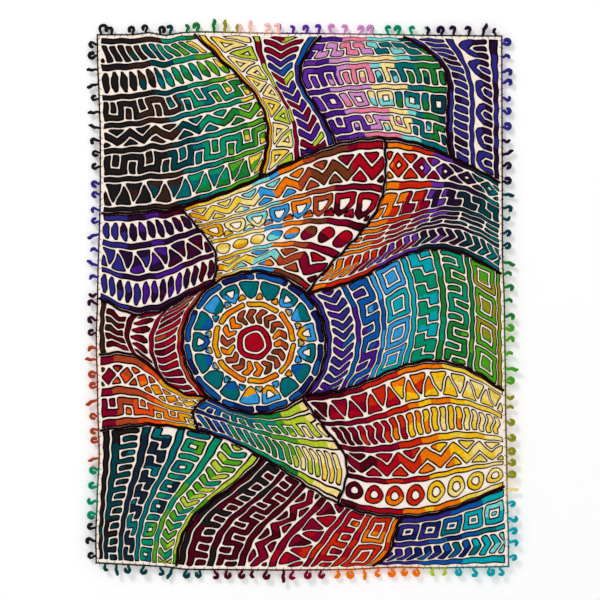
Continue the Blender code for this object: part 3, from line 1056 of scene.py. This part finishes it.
# The rings from the rim inwards: depth in mm, and motif.
MEDALLION_RINGS = [(RIB_WIDTH + GAP, segments), (23, scallops), (RIB_WIDTH + GAP, segments), (18.5, arrows)]


def make_rings():
    """The rings of the medallion, and how far its middle still reaches."""
    reach = MEDALLION_RADIUS - EDGE_MARGIN
    cells, place = [], 0
    for depth, motif in MEDALLION_RINGS:
        cells.append((place, depth, 2 * math.pi * (reach - place - depth / 2), motif))
        place += depth
    bm, patches = fill_field(cells, "navy blue teal sky gold orange rust brown".split(), "across", place,
                             random.Random(RINGS_SEED), closed=True)

    def warp(x, y, length):
        turn = 2 * math.pi * x / length
        return (MEDALLION_MIDDLE[0] + (reach - y) * np.cos(turn),
                MEDALLION_MIDDLE[1] - (reach - y) * np.sin(turn))

    return field_mesh(bm, "stitched_medallion", patches, cells, warp), reach - place


def make_middle(reach):
    """The round shape in the middle of the medallion."""
    cells = [(0, 2 * reach, 2 * reach, button)]
    bm, patches = fill_field(cells, "red vermilion gold".split(), "along", 2 * reach,
                             random.Random(MIDDLE_SEED))

    def warp(x, y, length):
        return MEDALLION_MIDDLE[0] + x - reach, MEDALLION_MIDDLE[1] + y - reach

    return field_mesh(bm, "stitched_medallion_middle", patches, cells, warp)


medallion, middle_reach = make_rings()
stitched += [medallion, make_middle(middle_reach)]


# Edging: a thin dark thread is whipped over the cloth's edge, and lengths of dyed three-ply yarn stand out of
# it as small hooks, rings and stubs. The yarn's dye changes every few curls along each side.
EDGE_COLUMNS = 24
EDGE_ROWS = 30
EDGE_GAP = 0.3
EDGE_THREAD = 1.4
EDGE_RADIUS = 0.92
EDGE_TWIST = 3.6
EDGE_STEP = 0.7
EDGE_DARK = 0.6
EDGE_TUCK = 0.25
EDGE_PROUD = 0.2
CURL_YARN = 4.7
CURL_ROOT = 0.62
CURL_TIP = 1.02
CURL_NECK = 1.3
CURL_STEPS = 40
CURL_CLOSING = 1.3
CURL_TWIST = 7.5
CURL_INSET = 9
PLACE_JITTER = 0.17
LEAN_RANGE = (14, 44)
SIZE_RANGE = (0.92, 1.12)
SWAY_LIMIT = 0.7
ROOT_PLACES = (-1.1, -0.3, 0.5)
TIP_TAPER = 9
TIP_END = 0.45
WOOL_FIBRE = 0.909
WHIP_RADIUS = 0.45
WHIP_SPACING = 8.5
WHIP_INSET = 4
WHIP_SLANT = 0.7
WHIP_UNEVEN = (0.75, 1.3)
WHIP_SEED = 5

# The ways in which a length of yarn curls: how often, stem and radius in mm, turn and sway in degrees.
CURL_FORMS = [(5, 3.2, 2.2, 200, 0), (5, 4.4, 2.0, 165, 0), (4, 2.6, 2.5, 220, 0), (3, 5.6, 2.6, 90, 38),
              (3, 2.4, 2.0, 125, 0)]
# The two curls at the top left corner: place, form, hand, lean, size and sway out of the plane.
CORNER_CURLS = [(5, (0, 3.2, 3.9, 200, 0), 1, 20, 1, 0), (17, (0, 2.6, 2.2, 125, 0), -1, 10, 1, 0.4)]
# A whip stitch over the edge: how far each of its points lies out, along and in front, in mm.
WHIP_STITCH = [(-2.0, -1.5, 0.1), (-1.7, -1.1, 0.75), (-0.4, 0, 0.95), (0.8, 0.6, 1.1), (1.6, 1.0, 0.7),
               (2.2, 1.4, 0.1)]
# Each side: its way outwards, its curls and their seed, its dyes, and where each starts along it, in mm.
EDGINGS = {
    "top": (0, 1, 30, 11, "charcoal charcoal pine green olive blush purple mauve jade aubergine aubergine",
            [0, 60, 78, 100, 138, 158, 205, 255, 310, 370, 440]),
    "bottom": (0, -1, 30, 23, "pine maroon crimson orange lime turquoise", [0, 130, 210, 262, 365, 395]),
    "left": (-1, 0, 38, 37, "charcoal indigo plum rust jade charcoal", [0, 160, 282, 350, 488, 545]),
    "right": (1, 0, 39, 51, "indigo aubergine pine green leaf olive butter turquoise",
              [0, 110, 168, 250, 320, 398, 500, 525]),
}


def edge_route(outward_x, outward_z):
    """The facets of the cloth's edge along one side, as x and z in mm."""
    if outward_z:
        shares = np.arange(EDGE_COLUMNS + 1) / EDGE_COLUMNS
        down = np.full(len(shares), 0.0 if outward_z > 0 else CLOTH_HEIGHT)
        points = np.stack(cloth_spot((shares - 0.5) * CLOTH_WIDTH, down), -1)
        reach = EDGE_GAP + EDGE_THREAD
        first = points[0] - points[1]
        last = points[-1] - points[-2]
        return np.vstack([points[0] + first / np.linalg.norm(first) * reach, points,
                          points[-1] + last / np.linalg.norm(last) * reach])
    shares = np.arange(EDGE_ROWS + 1) / EDGE_ROWS
    across = np.full(len(shares), outward_x * CLOTH_WIDTH / 2)
    return np.stack(cloth_spot(across, shares * CLOTH_HEIGHT), -1)


def edge_point(route, outward, place):
    """The point of the cloth's edge at a place along it, and the directions away from and along the cloth."""
    runs = np.diff(route, axis=0)
    reach = reach_along(route)
    facet = min(max(int(np.searchsorted(reach, place)) - 1, 0), len(runs) - 1)
    run = runs[facet] / np.linalg.norm(runs[facet])
    normal = np.array([-run[1], run[0]])
    if normal @ outward < 0:
        normal = -normal
    return route[facet] + run * (place - reach[facet]), normal, np.array([normal[1], -normal[0]])


def curl_plan(side, length, curls, seed):
    """Where each curl stands on its side, and how it leans and turns."""
    draw = random.Random(seed)
    pitch = (length - 2 * CURL_INSET) / (curls - 1)
    plan = []
    for index in range(curls):
        jitter = draw.uniform(-PLACE_JITTER, PLACE_JITTER) * pitch
        form = draw.choices(CURL_FORMS, [form[0] for form in CURL_FORMS])[0]
        hand = draw.choice((-1, 1))
        lean = draw.uniform(*LEAN_RANGE)
        size = draw.uniform(*SIZE_RANGE)
        sway = draw.uniform(-SWAY_LIMIT, SWAY_LIMIT)
        plan.append((CURL_INSET + index * pitch + jitter, form, hand, lean, size, sway))
    if side == "top":
        plan[:len(CORNER_CURLS)] = CORNER_CURLS
    return plan


def curl_strand(route, outward, curl):
    """The middle of one curl's yarn and its radii, in metres, from inside the edge thread to its tip."""
    place, (often, stem, radius, turn, sway_angle), hand, lean, size, sway = curl
    point, normal, tangent = edge_point(route, outward, place)
    root = point + normal * (EDGE_GAP + EDGE_THREAD)
    depth = hang(point[0], point[1])
    stem, radius, turn = stem * size, radius * size, turn * CURL_CLOSING
    run = stem + radius * math.radians(turn)
    along, out = 0, 0
    strand, radii = [], []
    for back in ROOT_PLACES:
        spot = root + normal * back
        strand.append((spot[0], depth, spot[1]))
        radii.append(CURL_YARN / 2 * CURL_ROOT)
    for index in range(CURL_STEPS + 1):
        share = index / CURL_STEPS
        spot = root + tangent * hand * along + normal * (out + CURL_NECK)
        strand.append((spot[0], depth + sway * share, spot[1]))
        fade = min(1, (1 - share) * TIP_TAPER + TIP_END)
        radii.append(CURL_YARN / 2 * size * (CURL_ROOT + (CURL_TIP - CURL_ROOT) * share) * fade)
        heading = -math.radians(lean) + max(0, share * run - stem) / radius
        heading += math.radians(sway_angle) * math.sin(2 * math.pi * share)
        along += math.sin(heading) * run / CURL_STEPS
        out += math.cos(heading) * run / CURL_STEPS
    return np.array(strand) * MM, np.array(radii) * MM


def edge_strands(route, outward, length, draw):
    """The thread along the cloth's edge, and the short stitches that whip it down."""
    strand = []
    for place in np.linspace(0, length, int(length / EDGE_STEP)):
        point, normal, tangent = edge_point(route, outward, place)
        spot = point + normal * (EDGE_GAP + EDGE_THREAD / 2 - EDGE_TUCK)
        strand.append((spot[0], hang(spot[0], spot[1]) - EDGE_PROUD, spot[1]))
    strands = [(np.array(strand) * MM, np.full(len(strand), EDGE_RADIUS * MM))]
    place = WHIP_INSET
    while place < length - WHIP_INSET:
        point, normal, tangent = edge_point(route, outward, place)
        tangent = tangent * draw.choice((-1, 1)) * WHIP_SLANT
        stitch = []
        for out, along, height in WHIP_STITCH:
            spot = point + normal * out + tangent * along
            stitch.append((spot[0], hang(spot[0], spot[1]) - height, spot[1]))
        strands.append((np.array(stitch) * MM, np.full(len(stitch), WHIP_RADIUS * MM)))
        place += WHIP_SPACING * draw.uniform(*WHIP_UNEVEN)
    return strands


def spun_wool():
    """Three-ply wool, dyed by the length: matt, a little hairy, with random fibre specks, and a painted
    highlight that makes it lighter on its ridges.
    """
    material, tree, shader = new_material("spun_wool_yarn", roughness=0.9, sheen=0.03)
    place = add_node(tree, "TexCoord").outputs["Object"]
    dye = add_node(tree, "Attribute", attribute_name="dye").outputs["Color"]
    fibre = add_node(tree, "TexNoise", {"Vector": place, "Scale": spots_per_metre(WOOL_FIBRE), "Detail": 4})
    # The specks are random fibre tone, but they share their noise with the raised fibre relief, so the ridges
    # carry a painted highlight.
    speck = add_node(tree, "MapRange", {0: fibre.outputs["Fac"], 1: 0.3, 2: 0.72, 3: 0.72, 4: 1.3}).outputs[0]
    color = add_node(tree, "VectorMath", {0: dye, "Scale": speck}, operation="SCALE").outputs[0]
    finish_material(tree, shader, color, fibre.outputs["Fac"], strength=0.7, depth=0.3)
    return material


wool = spun_wool()
for side, (outward_x, outward_z, curls, seed, dye_names, dye_places) in EDGINGS.items():
    outward = np.array([outward_x, outward_z])
    route = edge_route(outward_x, outward_z)
    length = reach_along(route)[-1]
    whipping = edge_strands(route, outward, length, random.Random(seed + WHIP_SEED))
    thread = spin_yarn(whipping, 2, EDGE_TWIST * MM)
    strands = [curl_strand(route, outward, curl) for curl in curl_plan(side, length, curls, seed)]
    curl_mesh = take_mesh(spin_yarn(strands, 3, CURL_TWIST * MM), "curls")
    thread_faces = len(thread.faces)
    thread.from_mesh(curl_mesh)
    bpy.data.meshes.remove(curl_mesh)
    dye_layer = thread.verts.layers.float_color.new("dye")
    dyes = [mathutils.Vector(linear(DYES[name])) for name in dye_names.split()]
    dark = linear(OUTLINE_DYE)
    for index, face in enumerate(thread.faces):
        for vert in face.verts:
            run = vert.co.x / MM + CLOTH_WIDTH / 2 if outward_z else -vert.co.z / MM
            dye = dyes[max(0, int(np.searchsorted(dye_places, run, side="right")) - 1)]
            vert[dye_layer] = dye.lerp(dark, EDGE_DARK) if index < thread_faces else dye
    name = side + "_edging_yarn"
    piece = add_piece(take_mesh(thread, name), name, wool)
    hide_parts(side + "_edging")


# Stage: a matt white wall a few millimetres behind the hanging, which is clear from its back, so that the
# hanging's own back can be seen, and a pale floor well below it. Neither is part of the object.
WALL_SIZE = 6
WALL_PLACE = (0, 0.0062, -0.3)
FLOOR_SIZE = 8
FLOOR_PLACE = (0, 0, -1.1)


def stage_plane(name, size, place, turn, material):
    """A square plane of the stage, turned about the x axis."""
    bm = bmesh.new()
    bmesh.ops.create_grid(bm, x_segments=1, y_segments=1, size=size / 2)
    bmesh.ops.rotate(bm, verts=bm.verts, cent=(0, 0, 0), matrix=mathutils.Matrix.Rotation(turn, 3, "X"))
    bmesh.ops.translate(bm, verts=bm.verts, vec=place)
    mesh = take_mesh(bm, name)
    mesh.materials.append(material)
    plane = bpy.data.objects.new(name, mesh)
    bpy.context.scene.collection.objects.link(plane)
    return plane


wall_paint, wall_tree, wall_shader = new_material("white_wall", roughness=0.95, sheen=0)
wall_shader.inputs["Base Color"].default_value = (1, 1, 1, 1)
facing = add_node(wall_tree, "NewGeometry").outputs["Backfacing"]
clear = add_node(wall_tree, "BsdfTransparent").outputs[0]
blend = add_node(wall_tree, "MixShader", {0: facing, 1: wall_shader.outputs[0], 2: clear})
wall_tree.links.new(blend.outputs[0], wall_tree.nodes["Material Output"].inputs["Surface"])
wall = stage_plane("wall", WALL_SIZE, WALL_PLACE, math.pi / 2, wall_paint)
wall.visible_shadow = False
wall.visible_diffuse = False
wall.visible_glossy = False
floor_paint, floor_tree, floor_shader = new_material("pale_floor", roughness=0.9, sheen=0)
floor_shader.inputs["Base Color"].default_value = (0.86, 0.86, 0.86, 1)
stage_plane("floor", FLOOR_SIZE, FLOOR_PLACE, 0, floor_paint)

# Lights: a soft key from the upper left, a broad weak fill from the front, and one that lights the back, in
# white surroundings. Each row: name, place and size in metres, and power in watts. All are turned to the
# middle of the cloth.
SURROUNDINGS = 0.56
CLOTH_MIDDLE = mathutils.Vector((0, 0, -0.3))
LIGHTS = [("key_light", (-1.1, -1.9, 1.3), 0.7, 25), ("front_fill", (0.5, -2.6, -0.1), 2.2, 13),
          ("back_light", (0.6, 2.2, 0.8), 1.6, 40)]
for name, place, size, power in LIGHTS:
    light = bpy.data.lights.new(name, "AREA")
    light.size = size
    light.energy = power
    lamp = bpy.data.objects.new(name, light)
    lamp.location = place
    lamp.rotation_euler = (CLOTH_MIDDLE - lamp.location).to_track_quat("-Z", "Y").to_euler()
    bpy.context.scene.collection.objects.link(lamp)
world = bpy.data.worlds.new("studio")
world.use_nodes = True
world.node_tree.nodes["Background"].inputs["Color"].default_value = (1, 1, 1, 1)
world.node_tree.nodes["Background"].inputs["Strength"].default_value = SURROUNDINGS
bpy.context.scene.world = world

# Camera: square on to the cloth, as in the photograph, which shows 677 mm across at the cloth.
PHOTO_WIDTH = 0.677
LENS = 100
SENSOR_WIDTH = 36
CAMERA_ACROSS = -0.001
CAMERA_HEIGHT = -0.2995
camera = bpy.data.cameras.new("camera")
camera.lens = LENS
camera.sensor_width = SENSOR_WIDTH
camera_object = bpy.data.objects.new("camera", camera)
camera_object.location = (CAMERA_ACROSS, -PHOTO_WIDTH * LENS / SENSOR_WIDTH, CAMERA_HEIGHT)
camera_object.rotation_euler = (math.pi / 2, 0, 0)
bpy.context.scene.collection.objects.link(camera_object)
bpy.context.scene.camera = camera_object
bpy.context.scene.view_settings.view_transform = "Standard"
